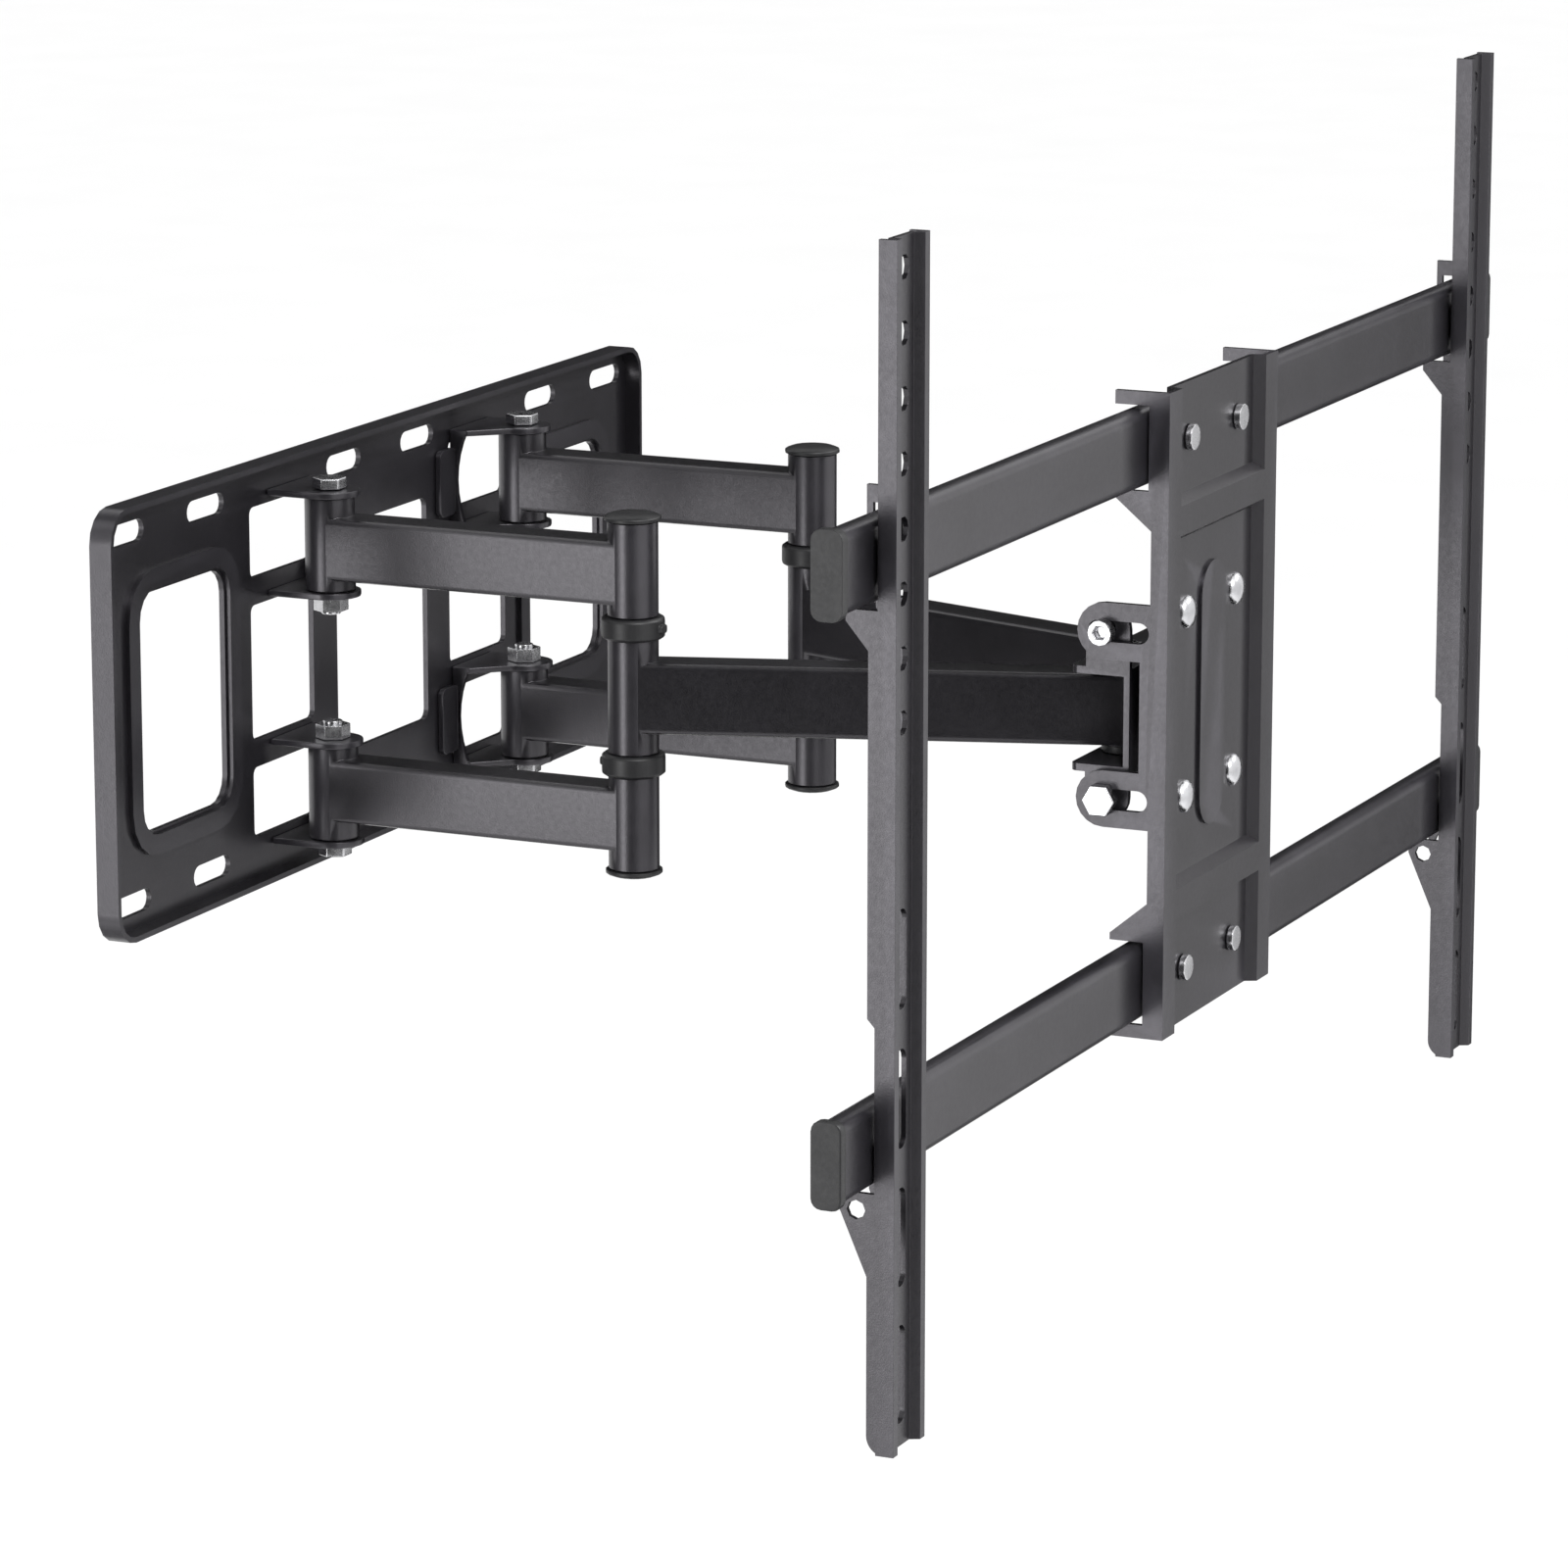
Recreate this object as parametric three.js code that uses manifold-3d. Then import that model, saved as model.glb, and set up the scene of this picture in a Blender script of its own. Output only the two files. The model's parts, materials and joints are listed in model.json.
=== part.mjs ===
// Full motion wall mount: a stamped wall plate, two pairs of rear arms, two front arms that meet in
// a yoke, a tilting head plate, two cross rails and two upright TV brackets.
// Units are millimetres. +X is right seen from the room, -Y points into the room, +Z is up.
// The origin is on the wall face of the wall plate, in the middle of its upper row of slots.
import * as THREE from 'three';
import { mergeVertices } from 'three/addons/utils/BufferGeometryUtils.js';
import Module from 'manifold-3d';

const wasm = await Module();
wasm.setup();

// ---------------------------------------------------------------- driving dimensions
const GAP = 0.3;                // between pieces that touch
const SLOT_ROW = 72;            // the two rows of wall slots, above and below the arms' mid-plane
const ARM_Z = -SLOT_ROW;        // height of the arms' mid-plane
const HEAD_Z = ARM_Z + 3;       // height of the head plate's centre

const PLATE = { halfWidth: 230, halfHeight: 84, rim: 9.3, sheet: 2.2, corner: 13 };
const WALL_SLOT = { length: 29, width: 8.5, across: [31.8, 144.9, 207.3] };
const WINDOW_HALF = 46.5;       // half height of the tall windows
const RIB = { inset: 1.5, width: 8, height: 2 };

const HINGE = { x: 84.5, out: 24, lug: 12, sheet: 2.5, low: 28.7, high: 71.3, wallX: 60.3 };
const REAR_ARM = { length: 132, z: 48.5, tall: 25, thick: 19, edge: 2.5, knuckle: 10 };
const FRONT_ARM = { length: 190, tall: 28, thick: 19, edge: 2.5, knuckleHalf: 22.3 };
const COLLAR = { radius: 12.5, low: 22.6, high: 31.2 };
const CAP = { radius: 11.2, flange: 1.6, dome: 3 };
const M8 = { shank: 3.9, hole: 4.3, hex: 6.9, head: 4.4 };
const M6 = { shank: 2.9, hole: 3.3, hex: 5.75, head: 4 };
const ELBOW_PIN = 5;            // radius

const PIVOT_X = 26.4;           // head pivots, left and right of the middle
const ELBOW_OUT = HINGE.out + REAR_ARM.length;
const SPREAD = Math.asin((HINGE.x - PIVOT_X) / FRONT_ARM.length);
const PIVOT_OUT = ELBOW_OUT + FRONT_ARM.length * Math.cos(SPREAD);
const PIVOT_DRIFT = 4.4;        // how far the right head pivot slides in the yoke as the arms fold

const FRONT = 366.5;            // plane of the ridges that meet the TV
const YOKE = { half: 54, back: PIVOT_OUT - 11, front: 350, low: 17.5, sheet: 3, web: 2.5 };
const TILT = { out: 341, z: 32.5, ear: 11, lug: 9, slotBack: 2.6, slotFront: 14, slotHalf: 4.1 };
const HEAD = { half: 58, tall: 125, ridge: 13, recess: 4.5, sheet: 2.2, flange: 2.5, boltX: 26 };
const BRIDGE = { low: 68.5, high: 80, slope: 3 };   // raised bars between the head plate's three panels
const RAIL = { half: 337, tall: 30, deep: 10, z: 103.5, front: FRONT - 9, wall: 1.8, edge: 4 };
const END_CAP = { tall: 32, deep: 12, thick: 4.7, plug: 8 };
const BRACKET = { x: 300.7, half: 14, tall: 215, recess: 3.5, sheet: 2, shallow: 7, deep: 10.5 };

// ---------------------------------------------------------------- outlines and solids
function polygon(points) {
  return new THREE.Shape(points.map(([u, v]) => new THREE.Vector2(u, v)));
}

function circle(u, v, radius) {
  return new THREE.Shape().absarc(u, v, radius, 0, 2 * Math.PI);
}

function hexagon(u, v, radius) {
  const corner = (i) => [u + radius * Math.cos(i * Math.PI / 3), v + radius * Math.sin(i * Math.PI / 3)];
  return polygon([0, 1, 2, 3, 4, 5].map(corner));
}

function roundedRect(u0, u1, v0, v1, radius) {
  const shape = new THREE.Shape();
  shape.absarc(u1 - radius, v0 + radius, radius, -Math.PI / 2, 0);
  shape.absarc(u1 - radius, v1 - radius, radius, 0, Math.PI / 2);
  shape.absarc(u0 + radius, v1 - radius, radius, Math.PI / 2, Math.PI);
  shape.absarc(u0 + radius, v0 + radius, radius, Math.PI, 1.5 * Math.PI);
  return shape;
}

function obround(u, v, length, width) {
  return roundedRect(u - length / 2, u + length / 2, v - width / 2, v + width / 2, width / 2 - 0.001);
}

function withHoles(shape, holes) {
  shape.holes.push(...holes);
  return shape;
}

const X = new THREE.Vector3(1, 0, 0);
const Z = new THREE.Vector3(0, 0, 1);
const OUT = new THREE.Vector3(0, -1, 0);

function solid(geometry) {
  geometry.deleteAttribute('normal');
  geometry.deleteAttribute('uv');
  const merged = mergeVertices(geometry);
  const vertProperties = new Float32Array(merged.attributes.position.array);
  const triVerts = new Uint32Array(merged.index.array);
  return new wasm.Manifold(new wasm.Mesh({ numProp: 3, vertProperties, triVerts }));
}

function extrude(shape, depth, arcs, matrix) {
  const geometry = new THREE.ExtrudeGeometry(shape, { depth, bevelEnabled: false, curveSegments: arcs });
  geometry.applyMatrix4(matrix);
  return solid(geometry);
}

// An outline in X and Z, thick from `near` to `far` in front of the wall.
function facing(shape, near, far, arcs = 2) {
  const matrix = new THREE.Matrix4().makeBasis(X, Z, OUT).setPosition(0, -near, 0);
  return extrude(shape, far - near, arcs, matrix);
}

// An outline in X and distance from the wall, thick from `low` to `high`.
function level(shape, low, high, arcs = 2) {
  const matrix = new THREE.Matrix4().makeBasis(X, OUT, Z.clone().negate()).setPosition(0, 0, high);
  return extrude(shape, high - low, arcs, matrix);
}

// An outline in distance from the wall and Z, thick from `left` to `right`.
function upright(shape, left, right, arcs = 2) {
  const matrix = new THREE.Matrix4().makeBasis(OUT, Z, X.clone().negate()).setPosition(right, 0, 0);
  return extrude(shape, right - left, arcs, matrix);
}

// The same as upright, on the left (side -1) or right (side 1), between two distances from x = 0.
function uprightOn(side, shape, inner, outer, arcs = 2) {
  return side < 0 ? upright(shape, -outer, -inner, arcs) : upright(shape, inner, outer, arcs);
}

// The same as level, above (side 1) or below (side -1) z = 0.
function levelOn(side, shape, inner, outer, arcs = 2) {
  return side < 0 ? level(shape, -outer, -inner, arcs) : level(shape, inner, outer, arcs);
}

function turned(profile, segments = 20) {
  const geometry = new THREE.LatheGeometry(profile.map(([r, z]) => new THREE.Vector2(r, z)), segments);
  geometry.rotateX(Math.PI / 2);
  return solid(geometry);
}

// ---------------------------------------------------------------- finishes and the model
const powderCoat = new THREE.MeshStandardMaterial({ color: 0x2b2a2d, roughness: 0.5, metalness: 0.35 });
const blackPlastic = new THREE.MeshStandardMaterial({ color: 0x121214, roughness: 0.6, metalness: 0 });
const zinc = new THREE.MeshStandardMaterial({ color: 0xc9c9cc, roughness: 0.3, metalness: 1 });

const arms = new THREE.Group();
arms.position.z = ARM_Z;
const head = new THREE.Group();
head.position.z = HEAD_Z;
const group = new THREE.Group();
group.add(arms, head);

function addPiece(parent, name, body, material) {
  const raw = body.getMesh();
  const geometry = new THREE.BufferGeometry();
  geometry.setAttribute('position', new THREE.BufferAttribute(new Float32Array(raw.vertProperties), 3));
  geometry.setIndex(new THREE.BufferAttribute(new Uint32Array(raw.triVerts), 1));
  geometry.computeVertexNormals();
  const mesh = new THREE.Mesh(geometry, material);
  mesh.name = name;
  parent.add(mesh);
  return mesh;
}

const SIDES = [['left', -1], ['right', 1]];
const LEVELS = [['lower', -1], ['upper', 1]];

// ---------------------------------------------------------------- wall plate
function wallPlate() {
  const { halfWidth: w, halfHeight: h, corner, sheet, rim } = PLATE;
  const outline = roundedRect(-w, w, -h, h, corner);
  const inner = roundedRect(-w + sheet, w - sheet, -h + sheet, h - sheet, corner - sheet);
  const slots = WALL_SLOT.across.flatMap((x) => [-x, x]).flatMap((x) =>
    [-SLOT_ROW, SLOT_ROW].map((z) => obround(x, z, WALL_SLOT.length, WALL_SLOT.width)));
  const windows = [roundedRect(-39.3, 39.3, -WINDOW_HALF, WINDOW_HALF, 4)];
  for (const [, side] of SIDES) {
    const span = (a, b) => [Math.min(side * a, side * b), Math.max(side * a, side * b)];
    windows.push(roundedRect(...span(131.6, 199), -WINDOW_HALF, WINDOW_HALF, 10));
    windows.push(roundedRect(...span(59.3, 110.3), -27, 27, 3));
    windows.push(roundedRect(...span(59.3, 110.3), 38, 66, 3));
    windows.push(roundedRect(...span(59.3, 110.3), -66, -38, 3));
  }
  let body = facing(withHoles(outline, [...windows, ...slots]), 0, sheet);
  body = body.add(facing(withHoles(roundedRect(-w, w, -h, h, corner), [inner]), 0, rim));
  for (const [, side] of SIDES) {
    const loop = (grow) => {
      const edges = [side * (131.6 - grow), side * (199 + grow)].sort((a, b) => a - b);
      return roundedRect(...edges, -WINDOW_HALF - grow, WINDOW_HALF + grow, 10 + grow);
    };
    const ring = withHoles(loop(RIB.inset + RIB.width), [loop(RIB.inset)]);
    body = body.add(facing(ring, sheet / 2, sheet + RIB.height));
  }
  return body;
}
addPiece(arms, 'wall_plate', wallPlate(), powderCoat);

// ---------------------------------------------------------------- hinge brackets, bolts and nuts
function hingeBracket(side, way) {
  const { x, out, lug, sheet, low, high, wallX } = HINGE;
  const back = PLATE.sheet + GAP;
  const outline = new THREE.Shape();
  outline.moveTo(side * wallX, back);
  outline.lineTo(side * (x + lug), back);
  outline.lineTo(side * (x + lug), out);
  outline.absarc(side * x, out, lug, side > 0 ? 0 : Math.PI, side > 0 ? Math.PI : 0, side < 0);
  outline.lineTo(side * wallX, back + 8);
  const plateWithHole = withHoles(outline, [circle(side * x, out, M8.hole)]);
  const cheek = new THREE.Shape();
  cheek.moveTo(back, way * low);
  cheek.lineTo(back + 8, way * low);
  cheek.quadraticCurveTo(back - 2, way * (low + high) / 2, back + 8, way * high);
  cheek.lineTo(back, way * high);
  const tabHalf = 14;
  const tab = [side * (wallX - 13), side * (wallX + 1)].sort((a, b) => a - b);
  const middle = way * (low + high) / 2;
  return levelOn(way, plateWithHole, low, low + sheet, 6)
    .add(levelOn(way, plateWithHole, high - sheet, high, 6))
    .add(uprightOn(side, cheek, wallX, wallX + sheet, 8))
    .add(facing(roundedRect(...tab, middle - tabHalf, middle + tabHalf, 3), back, back + sheet));
}

// A hex head screw along Z: `tip` and `under` are the heights of the tip and of the head's underside.
function hexBoltZ(x, out, way, tip, under, size) {
  return levelOn(way, circle(x, out, size.shank), tip, under + 0.5, 6)
    .add(levelOn(way, hexagon(x, out, size.hex), under, under + size.head));
}

for (const [sideName, side] of SIDES) {
  for (const [levelName, way] of LEVELS) {
    const tag = `${levelName}_${sideName}`;
    const x = side * HINGE.x;
    const nutTop = HINGE.low - GAP;
    const nut = withHoles(hexagon(x, HINGE.out, M8.hex), [circle(x, HINGE.out, M8.hole)]);
    addPiece(arms, `hinge_bracket_${tag}`, hingeBracket(side, way), powderCoat);
    addPiece(arms, `hinge_bolt_${tag}`,
      hexBoltZ(x, HINGE.out, way, nutTop - 7, HINGE.high + GAP, M8), zinc);
    addPiece(arms, `hinge_nut_${tag}`, levelOn(way, nut, nutTop - 5.5, nutTop, 4), zinc);
  }
}

// ---------------------------------------------------------------- arms and elbows
// A bar along the outward direction from the origin, with a round knuckle at each end.
function bar(length, low, high, thick, edge) {
  return facing(roundedRect(-thick / 2, thick / 2, low, high, edge), 0, length, 1);
}

function rearArm(way) {
  const { length, z, tall, thick, edge, knuckle } = REAR_ARM;
  const low = HINGE.low + HINGE.sheet + 0.4;
  const high = HINGE.high - HINGE.sheet - 0.4;
  const middle = way * z;
  return bar(length, middle - tall / 2, middle + tall / 2, thick, edge)
    .add(levelOn(way, circle(0, 0, knuckle), low, high, 10))
    .add(levelOn(way, circle(0, length, knuckle), low, high, 10))
    .subtract(levelOn(way, circle(0, 0, M8.hole), low - 1, high + 1, 6))
    .subtract(levelOn(way, circle(0, length, ELBOW_PIN + GAP), low - 1, high + 1, 6));
}

function frontArm() {
  const { length, tall, thick, edge, knuckleHalf } = FRONT_ARM;
  return bar(length, -tall / 2, tall / 2, thick, edge)
    .add(level(circle(0, 0, REAR_ARM.knuckle), -knuckleHalf, knuckleHalf, 10))
    .add(level(circle(0, length, thick / 2), -tall / 2, tall / 2, 10))
    .subtract(level(circle(0, 0, ELBOW_PIN + GAP), -knuckleHalf - 1, knuckleHalf + 1, 6))
    .subtract(level(circle(0, length, M8.hole), -tall, tall, 6));
}

function collar() {
  const { radius, low, high } = COLLAR;
  const bore = ELBOW_PIN + GAP;
  const ring = turned([[bore, low], [radius - 1, low], [radius, low + 1], [radius, high - 1],
    [radius - 1, high], [bore, high], [bore, low]]);
  return ring.add(facing(roundedRect(-2.5, 2.5, low + 2.6, high - 2.6, 1), radius - 1, radius + 1.1, 1));
}

function elbowCap() {
  const under = HINGE.high - HINGE.sheet;
  const { radius, flange, dome } = CAP;
  return turned([[0, under], [radius, under], [radius, under + flange],
    [radius * 0.75, under + flange + dome * 0.35], [radius * 0.4, under + dome * 0.92], [0, under + dome]]);
}

for (const [sideName, side] of SIDES) {
  const hinge = new THREE.Vector3(side * HINGE.x, -HINGE.out, 0);
  const elbow = new THREE.Vector3(side * HINGE.x, -ELBOW_OUT, 0);
  for (const [levelName, way] of LEVELS) {
    const tag = `${levelName}_${sideName}`;
    addPiece(arms, `rear_arm_${tag}`, rearArm(way), powderCoat).position.copy(hinge);
    const pieces = [['elbow_cap', elbowCap()], ['elbow_collar', collar()]];
    for (const [name, body] of pieces) {
      const mesh = addPiece(arms, `${name}_${tag}`, body, blackPlastic);
      mesh.position.copy(elbow);
      mesh.rotation.x = way < 0 ? Math.PI : 0;
    }
  }
  const pinHalf = HINGE.high - HINGE.sheet - GAP;
  const pin = level(circle(0, 0, ELBOW_PIN), -pinHalf, pinHalf, 6);
  addPiece(arms, `elbow_pin_${sideName}`, pin, zinc).position.copy(elbow);
  const arm = addPiece(arms, `front_arm_${sideName}`, frontArm(), powderCoat);
  arm.position.copy(elbow);
  arm.rotation.z = -side * SPREAD;
}

// ---------------------------------------------------------------- head pivots
for (const [sideName, side] of SIDES) {
  const x = side * PIVOT_X;
  const under = YOKE.low + YOKE.sheet + GAP;
  const nut = withHoles(hexagon(x, PIVOT_OUT, M8.hex), [circle(x, PIVOT_OUT, M8.hole)]);
  addPiece(arms, `pivot_bolt_${sideName}`,
    level(circle(x, PIVOT_OUT, M8.shank), -under - 6, under + 0.5, 6)
      .add(level(hexagon(x, PIVOT_OUT, M8.hex), under, under + M8.head)), zinc);
  addPiece(arms, `pivot_nut_${sideName}`, level(nut, -under - 5, -under, 4), zinc);
  for (const [levelName, way] of LEVELS) {
    const washer = withHoles(circle(x, PIVOT_OUT, 8.5), [circle(x, PIVOT_OUT, M8.hole)]);
    const low = FRONT_ARM.tall / 2 + GAP;
    addPiece(arms, `pivot_washer_${levelName}_${sideName}`,
      levelOn(way, washer, low, YOKE.low - GAP, 8), blackPlastic);
  }
}

// ---------------------------------------------------------------- yoke
function yoke() {
  const { half, back, front, low, sheet, web } = YOKE;
  const rise = HEAD_Z - ARM_Z;
  const holes = [circle(-PIVOT_X, PIVOT_OUT, M8.hole),
    obround(PIVOT_X, PIVOT_OUT, 2 * (M8.hole + PIVOT_DRIFT), 2 * M8.hole)];
  const shelf = withHoles(roundedRect(-half, half, back, front, 3), holes);
  let body = level(shelf, low, low + sheet, 4)
    .add(level(shelf, -low - sheet, -low, 4))
    .add(facing(roundedRect(-half, half, -low - sheet, low + sheet, 1), front - web, front, 1));
  for (const [, side] of SIDES) {
    for (const [, way] of LEVELS) {
      const z = rise + way * TILT.z;
      const lug = new THREE.Shape();
      lug.moveTo(TILT.out - TILT.lug, way * low);
      lug.lineTo(TILT.out + TILT.lug, way * low);
      lug.lineTo(TILT.out + TILT.lug, z);
      lug.absarc(TILT.out, z, TILT.lug, way > 0 ? 0 : 2 * Math.PI, Math.PI, way < 0);
      const drilled = withHoles(lug, [circle(TILT.out, z, M6.hole)]);
      body = body.add(uprightOn(side, drilled, half - web, half, 6));
    }
  }
  return body;
}
addPiece(arms, 'yoke', yoke(), powderCoat);

// ---------------------------------------------------------------- tilt bolts
const bolt = { under: HEAD.half + GAP, tip: YOKE.half - YOKE.web - 7 };
for (const [sideName, side] of SIDES) {
  for (const [levelName, way] of LEVELS) {
    const tag = `${levelName}_${sideName}`;
    const z = way * TILT.z;
    const headShape = way > 0 ? circle(TILT.out, z, 5) : hexagon(TILT.out, z, M6.hex + 0.9);
    let screw = uprightOn(side, circle(TILT.out, z, M6.shank), bolt.tip, bolt.under + 0.5, 6)
      .add(uprightOn(side, headShape, bolt.under, bolt.under + M6.head + 1, 6));
    if (way > 0) {
      const socket = hexagon(TILT.out, z, 2.7);
      screw = screw.subtract(uprightOn(side, socket, bolt.under + 2, bolt.under + M6.head + 2));
    }
    addPiece(head, `tilt_bolt_${tag}`, screw, zinc);
    const nut = withHoles(hexagon(TILT.out, z, M6.hex), [circle(TILT.out, z, M6.hole)]);
    const inner = YOKE.half - YOKE.web - GAP;
    addPiece(head, `tilt_nut_${tag}`, uprightOn(side, nut, inner - 5, inner, 4), zinc);
  }
}

// ---------------------------------------------------------------- head plate
// The folded section shared by the head plate and the TV brackets: two ridges and a recessed web.
function channel(half, ridge, recess, sheet, flange, depth, length) {
  const foot = half - ridge - recess / 2;
  const overlap = -0.5;
  const back = sheet * 0.62;     // shift of the rear face's corners that keeps the slope's thickness
  const section = (side) => polygon([
    [side * overlap, FRONT - recess], [side * foot, FRONT - recess], [side * (half - ridge), FRONT],
    [side * half, FRONT], [side * half, FRONT - depth], [side * (half - flange), FRONT - depth],
    [side * (half - flange), FRONT - sheet], [side * (half - ridge + back), FRONT - sheet],
    [side * (foot + back), FRONT - recess - sheet], [side * overlap, FRONT - recess - sheet]]);
  return level(section(-1), -length, length).add(level(section(1), -length, length));
}

function headPlate() {
  const { half, tall, ridge, recess, sheet, flange, boltX } = HEAD;
  const web = FRONT - recess;
  const slotMiddle = TILT.out + (TILT.slotFront - TILT.slotBack) / 2;
  const slotLength = TILT.slotFront + TILT.slotBack + 2 * TILT.slotHalf;
  let body = channel(half, ridge, recess, sheet, flange, 7, tall);
  for (const [, way] of LEVELS) {
    const { low, high, slope } = BRIDGE;
    const bridge = polygon([[web - 1, way * (low - slope)], [web, way * (low - slope)], [FRONT, way * low],
      [FRONT, way * high], [web, way * (high + slope)], [web - 1, way * (high + slope)]]);
    body = body.add(upright(bridge, -half + 3, half - 3));
    const prongs = polygon([[FRONT - 3, way * tall], [FRONT - 22, way * tall], [FRONT - 22, way * (tall - 5.2)],
      [FRONT - 8.3, way * (tall - 5.2)], [FRONT - 8.3, way * 87.2], [FRONT - 22, way * 87.2],
      [FRONT - 22, way * 84.5], [FRONT - 7, way * 72], [FRONT - 3, way * 72]]);
    const ear = new THREE.Shape();
    const z = way * TILT.z;
    ear.absarc(TILT.out, z, TILT.ear, Math.PI / 2, 1.5 * Math.PI);
    ear.lineTo(FRONT - 3, z - TILT.ear);
    ear.lineTo(FRONT - 3, z + TILT.ear);
    const slotted = withHoles(ear, [obround(slotMiddle, z, slotLength, 2 * TILT.slotHalf)]);
    for (const [, side] of SIDES) {
      body = body.add(uprightOn(side, prongs, half - flange, half))
        .add(uprightOn(side, slotted, half - flange, half, 5));
    }
  }
  const lip = roundedRect(FRONT - 11, FRONT - 3, -TILT.z, TILT.z, 1);
  for (const [, side] of SIDES) {
    body = body.add(uprightOn(side, lip, half - flange, half, 1));
    for (const [, way] of LEVELS) {
      const slot = obround(slotMiddle, way * TILT.z, slotLength, 2 * TILT.slotHalf);
      body = body.subtract(uprightOn(side, slot, half - flange - 1, half + 1, 3));
      body = body.subtract(facing(circle(side * boltX, way * RAIL.z, M6.hole), 350, FRONT, 5));
    }
  }
  return body.add(facing(roundedRect(-13, 13, -52, 52, 12.9), web - 1, web + 1.3, 3));
}
addPiece(head, 'head_plate', headPlate(), powderCoat);

// ---------------------------------------------------------------- rails, end caps and rail bolts
function rail(z) {
  const { half, tall, deep, front, wall, edge } = RAIL;
  const section = roundedRect(front - deep, front, z - tall / 2, z + tall / 2, edge);
  const inside = roundedRect(front - deep + wall, front - wall, z - tall / 2 + wall, z + tall / 2 - wall,
    edge - wall);
  let body = upright(withHoles(section, [inside]), -half, half);
  for (const [, side] of SIDES) {
    body = body.subtract(facing(circle(side * HEAD.boltX, z, M6.hole), front - deep - 1, front + 1, 5));
  }
  return body;
}

function railCap(side, z) {
  const { half, tall, deep, front, wall, edge } = RAIL;
  const middle = front - deep / 2;
  const slack = wall + GAP;
  const face = roundedRect(middle - END_CAP.deep / 2, middle + END_CAP.deep / 2,
    z - END_CAP.tall / 2, z + END_CAP.tall / 2, edge);
  const plug = roundedRect(front - deep + slack, front - slack, z - tall / 2 + slack, z + tall / 2 - slack,
    edge - slack);
  return uprightOn(side, face, half + GAP, half + GAP + END_CAP.thick)
    .add(uprightOn(side, plug, half - END_CAP.plug, half + 1));
}

for (const [levelName, way] of LEVELS) {
  const z = way * RAIL.z;
  addPiece(head, `rail_${levelName}`, rail(z), powderCoat);
  for (const [sideName, side] of SIDES) {
    const tag = `${levelName}_${sideName}`;
    const x = side * HEAD.boltX;
    const seat = FRONT - HEAD.recess + GAP;
    addPiece(head, `rail_cap_${tag}`, railCap(side, z), blackPlastic);
    addPiece(head, `rail_bolt_${tag}`, facing(circle(x, z, M6.shank), RAIL.front - RAIL.deep, seat + 0.5, 5)
      .add(facing(circle(x, z, 5.2), seat, seat + 2.6, 8)), zinc);
  }
}

// ---------------------------------------------------------------- TV brackets
// Side flange of a TV bracket, with a notch for each rail. `hook` adds the claw over the upper rail.
function bracketFlange(hook) {
  const { tall, shallow, deep } = BRACKET;
  const front = FRONT - 1;
  const [lean, full] = [FRONT - shallow, FRONT - deep];
  const flange = new THREE.Shape();
  flange.moveTo(front, tall);
  flange.lineTo(lean, tall);
  if (hook) {
    flange.lineTo(lean, 126);
    flange.lineTo(FRONT - 22.5, 126);
    flange.lineTo(FRONT - 22.5, 110);
    flange.lineTo(FRONT - 20, 110);
    flange.lineTo(FRONT - 20, 119.8);
    flange.lineTo(FRONT - 8.2, 119.8);
    flange.lineTo(FRONT - 8.2, 87.2);
  } else {
    flange.lineTo(lean, 87.2);
  }
  flange.lineTo(FRONT - 19, 87.2);
  flange.lineTo(FRONT - 19, 83);
  flange.lineTo(full, 73);
  flange.lineTo(full, -57);
  flange.lineTo(lean - 0.7, -60);
  flange.lineTo(lean - 0.7, -119.8);
  flange.lineTo(FRONT - 21, -119.8);
  flange.lineTo(FRONT - 21, -126);
  flange.lineTo(full, -150);
  flange.absarc(FRONT - deep + 7, -tall + 7, 7, Math.PI, 1.5 * Math.PI);
  flange.lineTo(front, -tall);
  return withHoles(flange, [circle(FRONT - 14.5, -126, 3.5)]);
}

function tvBracket() {
  const { half, tall, recess, sheet, shallow } = BRACKET;
  let body = channel(half, 4, recess, sheet, sheet, shallow, tall)
    .add(upright(bracketFlange(false), -half, -half + sheet, 4))
    .add(upright(bracketFlange(true), half - sheet, half, 4));
  for (let i = 0; i < 8; i += 1) {
    body = body.subtract(facing(circle(0, 204 - 22.6 * i, 4.4), FRONT - 10, FRONT, 5));
  }
  for (let i = 0; i < 4; i += 1) {
    const z = -38 - 50.2 * i;
    body = body.subtract(facing(roundedRect(-4.4, 4.4, z - 18, z + 18, 4.39), FRONT - 10, FRONT));
  }
  return body;
}

for (const [sideName, side] of SIDES) {
  addPiece(head, `tv_bracket_${sideName}`, tvBracket(), powderCoat).position.x = side * BRACKET.x;
}

export default group;
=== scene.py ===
# Looks of the full motion wall mount: powder-coated steel, moulded plastic and zinc-plated
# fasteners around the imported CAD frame. Lengths are metres, in the frame of the CAD model:
# +X right seen from the room, -Y into the room, +Z up.
import json
import math

import bmesh
import bpy
from mathutils import Matrix, Vector


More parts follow.
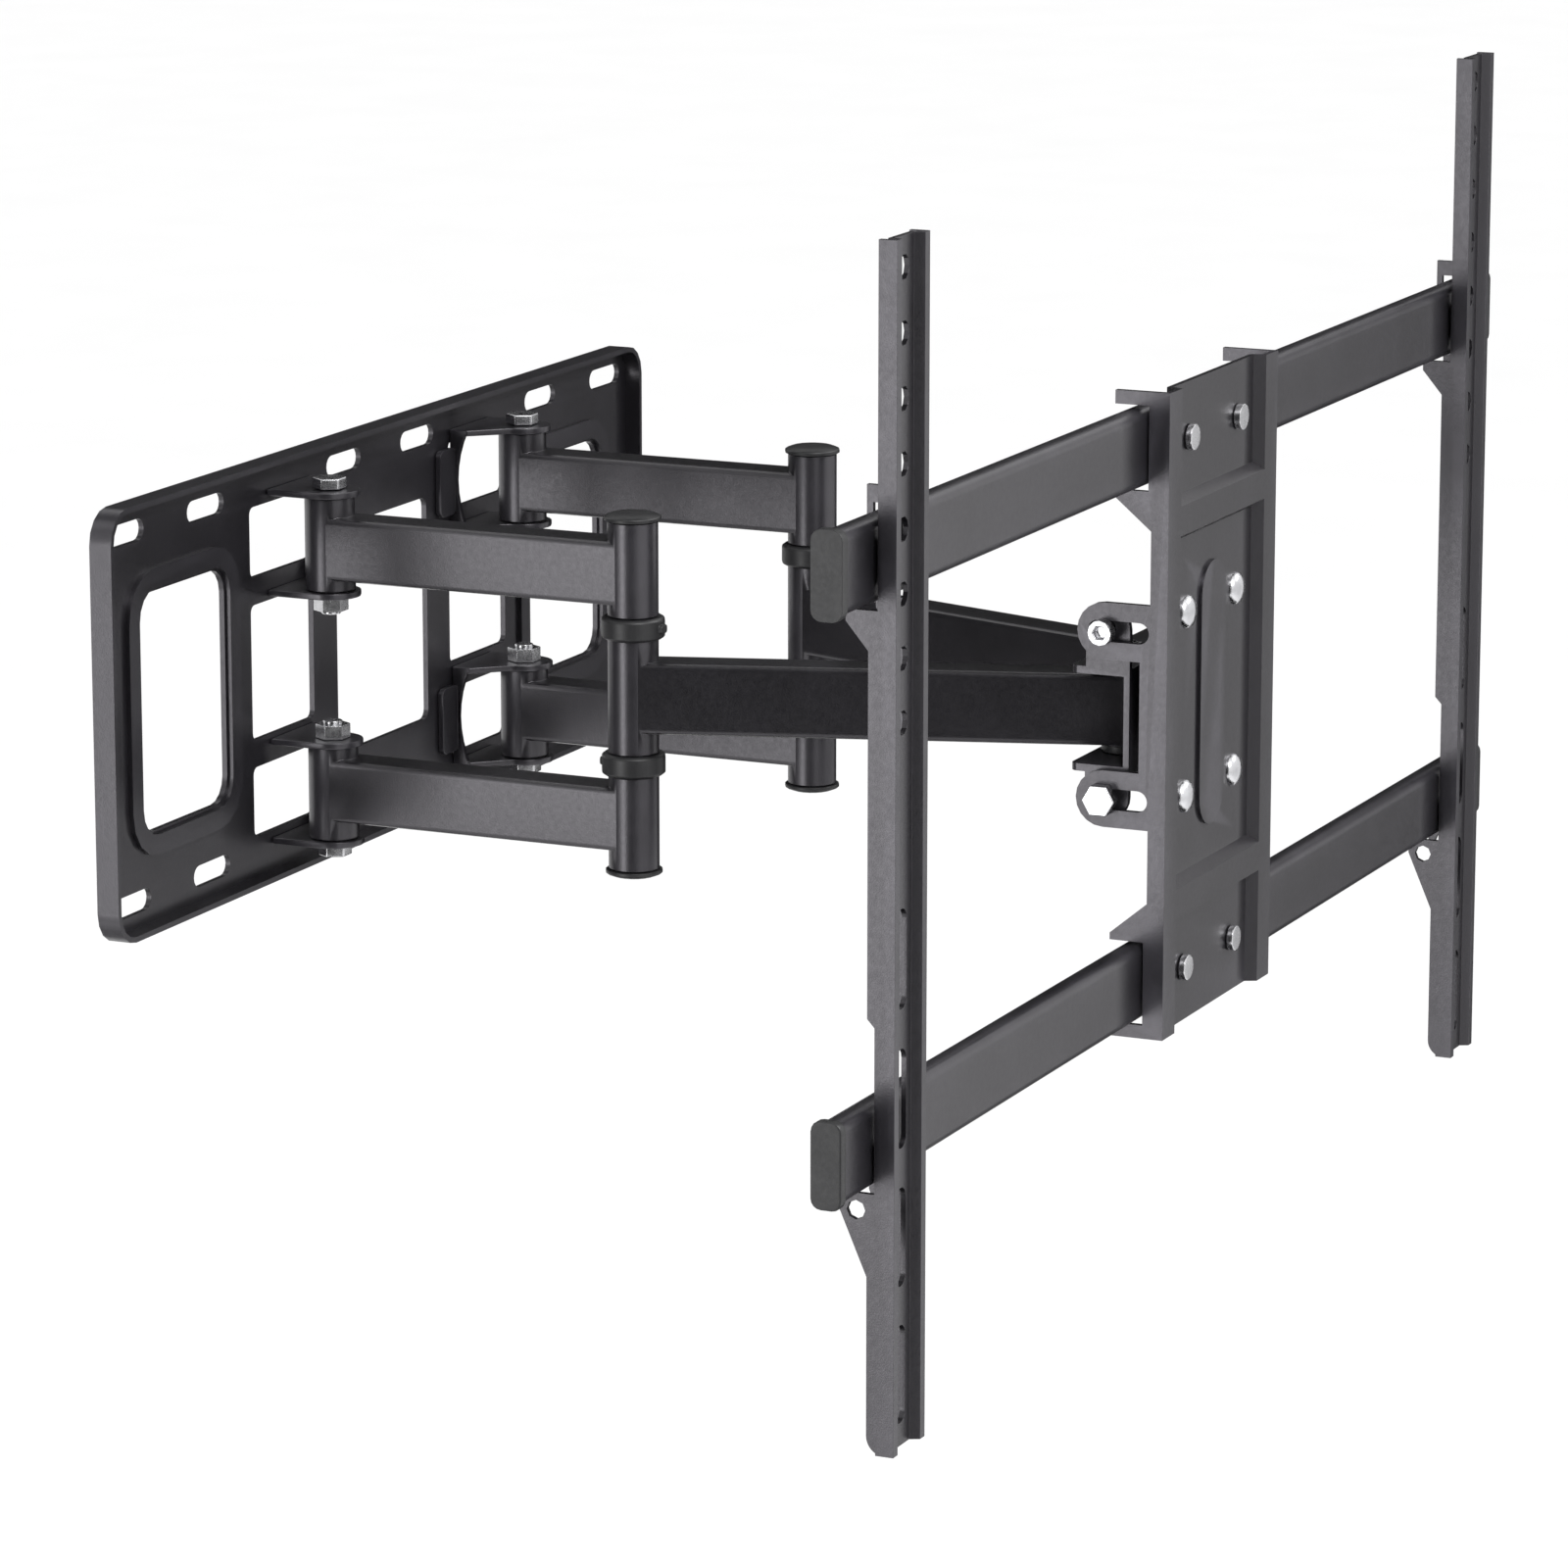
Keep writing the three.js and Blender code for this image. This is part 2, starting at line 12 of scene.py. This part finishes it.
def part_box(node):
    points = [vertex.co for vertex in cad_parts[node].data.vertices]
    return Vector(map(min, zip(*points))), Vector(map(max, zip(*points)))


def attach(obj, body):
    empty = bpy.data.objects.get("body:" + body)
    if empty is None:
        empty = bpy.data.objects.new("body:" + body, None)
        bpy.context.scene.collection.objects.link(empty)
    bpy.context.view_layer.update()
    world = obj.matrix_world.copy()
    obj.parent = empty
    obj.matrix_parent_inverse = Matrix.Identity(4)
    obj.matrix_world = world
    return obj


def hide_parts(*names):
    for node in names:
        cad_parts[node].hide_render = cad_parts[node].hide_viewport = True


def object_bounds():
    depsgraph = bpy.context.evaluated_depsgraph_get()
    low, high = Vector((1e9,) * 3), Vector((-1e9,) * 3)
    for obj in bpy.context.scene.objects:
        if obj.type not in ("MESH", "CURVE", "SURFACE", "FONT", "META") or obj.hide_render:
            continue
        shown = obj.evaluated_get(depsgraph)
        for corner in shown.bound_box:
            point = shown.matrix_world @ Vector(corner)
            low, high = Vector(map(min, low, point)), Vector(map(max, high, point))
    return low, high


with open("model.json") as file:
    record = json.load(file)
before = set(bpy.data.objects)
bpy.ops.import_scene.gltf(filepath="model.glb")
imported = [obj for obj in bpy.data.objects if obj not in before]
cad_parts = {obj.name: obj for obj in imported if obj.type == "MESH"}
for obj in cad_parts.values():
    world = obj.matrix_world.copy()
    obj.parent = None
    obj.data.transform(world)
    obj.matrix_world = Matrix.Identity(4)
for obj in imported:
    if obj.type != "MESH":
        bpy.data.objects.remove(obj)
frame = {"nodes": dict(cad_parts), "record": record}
cad_low, cad_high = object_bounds()

MM = 0.001
SIDES = {"left": -1, "right": 1}
LEVELS = {"lower": -1, "upper": 1}
SLOT_OF = {entry["node"]: entry["material_slot"] for entry in frame["record"]["subparts"]}
BODY_OF = {node: body for body, nodes in frame["record"]["behaviour"]["bodies"].items() for node in nodes}
ARM_Z = -72 * MM                # height of the arms' mid-plane


# ---------------------------------------------------------------- camera
CAMERA_SPOT = (-2.381, -1.262, ARM_Z + 0.530)
CAMERA_SIGHT = (0.91065, 0.41319)       # the level direction it looks along, as X and Y
CAMERA_PITCH = math.radians(12.51)      # how far it looks down
FOCAL_LENGTH = 154.4                    # mm
SENSOR_WIDTH = 36                       # mm


def make_camera():
    camera = bpy.data.objects.new("camera", bpy.data.cameras.new("camera"))
    bpy.context.scene.collection.objects.link(camera)
    camera.location = CAMERA_SPOT
    heading = math.atan2(CAMERA_SIGHT[1], CAMERA_SIGHT[0])
    camera.rotation_euler = (math.pi / 2 - CAMERA_PITCH, 0, heading - math.pi / 2)
    camera.data.lens = FOCAL_LENGTH
    camera.data.sensor_width = SENSOR_WIDTH
    camera.data.clip_start = 0.05
    camera.data.clip_end = 200
    bpy.context.scene.camera = camera


# ---------------------------------------------------------------- materials
class Finish:
    """A Principled material with small helpers for its nodes."""

    def __init__(self, name):
        self.material = bpy.data.materials.new(name)
        self.material.use_nodes = True
        self.tree = self.material.node_tree
        self.shader = self.tree.nodes["Principled BSDF"]
        self.coords = self.node("ShaderNodeTexCoord").outputs["Object"]

    def node(self, kind, **settings):
        made = self.tree.nodes.new(kind)
        for key, value in settings.items():
            setattr(made, key, value)
        return made

    def link(self, source, target):
        self.tree.links.new(source, target)

    def noise(self, scale, detail=2.0, stretch=(1, 1, 1)):
        mapping = self.node("ShaderNodeMapping")
        mapping.inputs["Scale"].default_value = stretch
        self.link(self.coords, mapping.inputs["Vector"])
        noise = self.node("ShaderNodeTexNoise")
        noise.inputs["Scale"].default_value = scale
        noise.inputs["Detail"].default_value = detail
        self.link(mapping.outputs["Vector"], noise.inputs["Vector"])
        return noise.outputs["Fac"]

    def ramp(self, value, low, high, start=0.0, end=1.0):
        ramp = self.node("ShaderNodeValToRGB")
        ramp.color_ramp.elements[0].position = start
        ramp.color_ramp.elements[1].position = end
        ramp.color_ramp.elements[0].color = (*low, 1)
        ramp.color_ramp.elements[1].color = (*high, 1)
        self.link(value, ramp.inputs["Fac"])
        return ramp.outputs["Color"]

    def spread(self, value, low, high):
        spread = self.node("ShaderNodeMapRange")
        spread.inputs["To Min"].default_value = low
        spread.inputs["To Max"].default_value = high
        self.link(value, spread.inputs["Value"])
        return spread.outputs["Result"]

    def worn(self, color, wear, start, end):
        """Mixes the wear colour in along convex edges, broken up by noise."""
        edge = self.node("ShaderNodeNewGeometry").outputs["Pointiness"]
        mask = self.node("ShaderNodeMapRange")
        mask.inputs["From Min"].default_value = start
        mask.inputs["From Max"].default_value = end
        self.link(edge, mask.inputs["Value"])
        patchy = self.node("ShaderNodeMath", operation="MULTIPLY")
        self.link(mask.outputs["Result"], patchy.inputs[0])
        self.link(self.noise(60, 3), patchy.inputs[1])
        mix = self.node("ShaderNodeMix", data_type="RGBA")
        self.link(patchy.outputs["Value"], mix.inputs["Factor"])
        self.link(color, mix.inputs["A"])
        mix.inputs["B"].default_value = (*wear, 1)
        return mix.outputs["Result"]

    def bump(self, height, distance, strength, below=None):
        bump = self.node("ShaderNodeBump")
        bump.inputs["Distance"].default_value = distance
        bump.inputs["Strength"].default_value = strength
        self.link(height, bump.inputs["Height"])
        if below is not None:
            self.link(below, bump.inputs["Normal"])
        return bump.outputs["Normal"]


def powder_coat():
    finish = Finish("powder_coat")
    shade = finish.ramp(finish.noise(35, 4), (0.0045, 0.0042, 0.0052), (0.0085, 0.008, 0.0098), 0.3, 0.7)
    color = finish.worn(shade, (0.05, 0.048, 0.056), 0.53, 0.60)
    finish.link(color, finish.shader.inputs["Base Color"])
    finish.link(finish.spread(finish.noise(500, 2), 0.26, 0.38), finish.shader.inputs["Roughness"])
    ripple = finish.bump(finish.noise(260, 2), 0.00012, 0.25)
    grain = finish.bump(finish.noise(1500, 3), 0.00006, 0.6, ripple)
    finish.link(grain, finish.shader.inputs["Normal"])
    finish.shader.inputs["Specular IOR Level"].default_value = 0.85
    finish.shader.inputs["Specular Tint"].default_value = (0.97, 0.94, 1.0, 1)
    return finish.material


def black_plastic():
    finish = Finish("black_plastic")
    shade = finish.ramp(finish.noise(90, 3), (0.008, 0.008, 0.009), (0.014, 0.014, 0.015), 0.3, 0.7)
    color = finish.worn(shade, (0.035, 0.035, 0.037), 0.54, 0.62)
    finish.link(color, finish.shader.inputs["Base Color"])
    finish.link(finish.spread(finish.noise(700, 2), 0.36, 0.50), finish.shader.inputs["Roughness"])
    finish.link(finish.bump(finish.noise(1900, 2), 0.00004, 0.4), finish.shader.inputs["Normal"])
    return finish.material


def zinc():
    finish = Finish("zinc")
    shade = finish.ramp(finish.noise(140, 4), (0.46, 0.46, 0.48), (0.66, 0.66, 0.68), 0.3, 0.7)
    color = finish.worn(shade, (0.92, 0.92, 0.93), 0.52, 0.60)
    finish.link(color, finish.shader.inputs["Base Color"])
    finish.link(finish.spread(finish.noise(420, 3), 0.16, 0.34), finish.shader.inputs["Roughness"])
    turning = finish.noise(900, 2, (1, 1, 0.15))
    finish.link(finish.bump(turning, 0.00003, 0.5), finish.shader.inputs["Normal"])
    finish.shader.inputs["Metallic"].default_value = 1.0
    return finish.material


FINISHES = {"powder_coat": powder_coat(), "black_plastic": black_plastic(), "zinc": zinc()}


# ---------------------------------------------------------------- pieces
SMOOTH_ANGLE = math.radians(32)         # edges sharper than this are shaded sharp
HARD_ANGLE = math.radians(38)           # edges sharper than this are rounded
FLAT_ANGLE = math.radians(0.6)          # faces within this angle of each other become one
MERGE_DISTANCE = 0.005 * MM
BEVEL_PROFILE = 0.55                    # 0.5 is a true round


def add_piece(name, mesh, body, slot):
    """Turns a bmesh into a smooth-shaded piece that rides on a CAD body."""
    data = bpy.data.meshes.new(name)
    mesh.to_mesh(data)
    mesh.free()
    data.polygons.foreach_set("use_smooth", [True] * len(data.polygons))
    data.set_sharp_from_angle(angle=SMOOTH_ANGLE)
    data.materials.append(FINISHES[slot])
    piece = bpy.data.objects.new(name, data)
    bpy.context.scene.collection.objects.link(piece)
    weighted = piece.modifiers.new("weighted_normals", "WEIGHTED_NORMAL")
    weighted.keep_sharp = True
    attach(piece, body)
    return piece


def refine(node, edge, segments=2):
    """Replaces a CAD node by a copy of its own shape with its hard edges rounded to `edge`."""
    mesh = bmesh.new()
    mesh.from_mesh(frame["nodes"][node].data)
    bmesh.ops.remove_doubles(mesh, verts=mesh.verts, dist=MERGE_DISTANCE)
    bmesh.ops.dissolve_limit(mesh, angle_limit=FLAT_ANGLE, verts=mesh.verts, edges=mesh.edges)
    hard = [e for e in mesh.edges if len(e.link_faces) == 2 and e.calc_face_angle(0) > HARD_ANGLE]
    bmesh.ops.bevel(mesh, geom=hard, offset=edge, offset_type="OFFSET", segments=segments,
                    profile=BEVEL_PROFILE, affect="EDGES", clamp_overlap=True)
    piece = add_piece(f"{node}_skin", mesh, BODY_OF[node], SLOT_OF[node])
    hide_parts(node)


# Rounding of the hard edges in mm, by how the name of a node starts.
EDGE_BY_NODE = {"wall_plate": 0.7, "head_plate": 0.7, "tv_bracket": 0.6, "yoke": 0.6, "hinge_bracket": 0.6,
                "rail_cap": 1.2, "elbow_cap": 0.5, "elbow_collar": 0.5, "hinge_bolt": 0.6, "hinge_nut": 0.5,
                "pivot_bolt": 0.6, "pivot_nut": 0.5, "tilt_bolt": 0.5, "tilt_nut": 0.4, "rail_bolt": 0.7}
DEFAULT_EDGE = 0.4


def refine_everything():
    for node in sorted(frame["nodes"]):
        kind = next((kind for kind in EDGE_BY_NODE if node.startswith(kind)), None)
        refine(node, EDGE_BY_NODE.get(kind, DEFAULT_EDGE) * MM)


def lathe(profile, place, steps=32):
    """A closed round solid from (radius, height) points, turned about its own Z and then placed."""
    mesh = bmesh.new()
    rings = []
    for radius, height in profile:
        ring = []
        for i in range(steps):
            turn = 2 * math.pi * i / steps
            ring.append(mesh.verts.new((radius * math.cos(turn), radius * math.sin(turn), height)))
        rings.append(ring)
    for lower, upper in zip(rings, rings[1:]):
        for i in range(steps):
            j = (i + 1) % steps
            mesh.faces.new((lower[i], lower[j], upper[j], upper[i]))
    mesh.faces.new(reversed(rings[0]))
    mesh.faces.new(rings[-1])
    bmesh.ops.recalc_face_normals(mesh, faces=mesh.faces)
    mesh.transform(place)
    return mesh


# ---------------------------------------------------------------- rivets on the head plate
PANEL_DEPTH = 4.5 * MM          # from the front of the head plate back to the panel that holds the rivets
RIVET_ACROSS = 26 * MM          # from the middle of the plate to a rivet, sideways
RIVET_UP = 36 * MM              # and up or down
RIVET_DOME = [(6.6, 0), (6.6, 0.4), (6.1, 1.5), (5.0, 2.4), (3.2, 3.1), (1.2, 3.4), (0.3, 3.4)]


def rivets():
    low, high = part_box("head_plate")
    middle = (low + high) / 2
    face = low.y + PANEL_DEPTH
    dome = [(radius * MM, height * MM) for radius, height in RIVET_DOME]
    for side_name, side in SIDES.items():
        for level_name, level in LEVELS.items():
            spot = Vector((middle.x + side * RIVET_ACROSS, face, middle.z + level * RIVET_UP))
            place = Matrix.Translation(spot) @ Matrix.Rotation(math.pi / 2, 4, "X")
            add_piece(f"rivet_{level_name}_{side_name}", lathe(dome, place), "head", "zinc")


# ---------------------------------------------------------------- stage and light
FLOOR_DROP = 1.5                # the mount hangs well above the floor
FLOOR_GRID = 30
WORLD_STRENGTH = 1.12
MIDDLE = (0, -0.2, 0)           # near the middle of the mount, where most lights and flags aim


def make_stage():
    floor_mesh = bmesh.new()
    bmesh.ops.create_grid(floor_mesh, x_segments=8, y_segments=8, size=FLOOR_GRID)
    data = bpy.data.meshes.new("floor")
    floor_mesh.to_mesh(data)
    floor_mesh.free()
    floor = bpy.data.objects.new("floor", data)
    floor.location = (0, 0, cad_low[2] - FLOOR_DROP)
    bpy.context.scene.collection.objects.link(floor)
    finish = Finish("floor")
    finish.link(finish.ramp(finish.noise(3, 3), (0.86, 0.86, 0.86), (0.90, 0.90, 0.90)),
                finish.shader.inputs["Base Color"])
    finish.shader.inputs["Roughness"].default_value = 0.9
    data.materials.append(finish.material)


def area_light(name, spot, target, size, power):
    light = bpy.data.lights.new(name, "AREA")
    light.shape = "RECTANGLE"
    light.size = size[0]
    light.size_y = size[1]
    light.energy = power
    lamp = bpy.data.objects.new(name, light)
    lamp.location = spot
    lamp.rotation_euler = (Vector(target) - Vector(spot)).to_track_quat("-Z", "Y").to_euler()
    bpy.context.scene.collection.objects.link(lamp)


def flag(name, spot, target, size):
    """A black card that only shows in reflections, as a studio uses to keep dark gloss dark."""
    card = bmesh.new()
    bmesh.ops.create_grid(card, x_segments=1, y_segments=1, size=0.5)
    data = bpy.data.meshes.new(name)
    card.to_mesh(data)
    card.free()
    piece = bpy.data.objects.new(name, data)
    piece.location = spot
    piece.scale = (size[0], size[1], 1)
    piece.rotation_euler = (Vector(target) - Vector(spot)).to_track_quat("-Z", "Y").to_euler()
    bpy.context.scene.collection.objects.link(piece)
    black = Finish(name)
    black.shader.inputs["Base Color"].default_value = (0.002, 0.002, 0.002, 1)
    black.shader.inputs["Roughness"].default_value = 1.0
    black.shader.inputs["Specular IOR Level"].default_value = 0.0
    data.materials.append(black.material)
    piece.visible_camera = False
    piece.visible_diffuse = False
    piece.visible_shadow = False
    piece.visible_transmission = False


def make_light():
    world = bpy.data.worlds.new("studio")
    bpy.context.scene.world = world
    world.use_nodes = True
    background = world.node_tree.nodes["Background"]
    background.inputs["Color"].default_value = (1, 1, 1, 1)
    background.inputs["Strength"].default_value = WORLD_STRENGTH
    bpy.context.scene.view_settings.view_transform = "Standard"
    area_light("key", (-2.2, -2.6, 2.4), MIDDLE, (2.0, 1.4), 90)
    area_light("rim", (1.2, -2.2, 1.8), MIDDLE, (1.2, 1.0), 30)
    area_light("left_box", (-2.9, 1.0, -0.5), (-0.1, -0.2, -0.1), (0.9, 1.3), 16)
    flag("flag_left", (-3.0, -0.9, 0.0), (0, -0.3, -0.1), (2.6, 5.0))
    flag("flag_back_left", (-1.7, 2.6, 0.0), (0, -0.2, -0.1), (2.4, 5.0))
    flag("flag_above", (0.4, 0.4, 2.6), MIDDLE, (3.0, 2.4))
    flag("flag_below", (0.0, -0.2, -1.6), MIDDLE, (2.6, 2.2))
    flag("flag_behind", (2.6, 1.5, 0.9), MIDDLE, (3.4, 1.9))
    flag("flag_wall_side", (1.5, -0.15, -0.3), (0, -0.1, -0.1), (1.5, 1.8))


make_camera()
refine_everything()
rivets()
make_stage()
make_light()
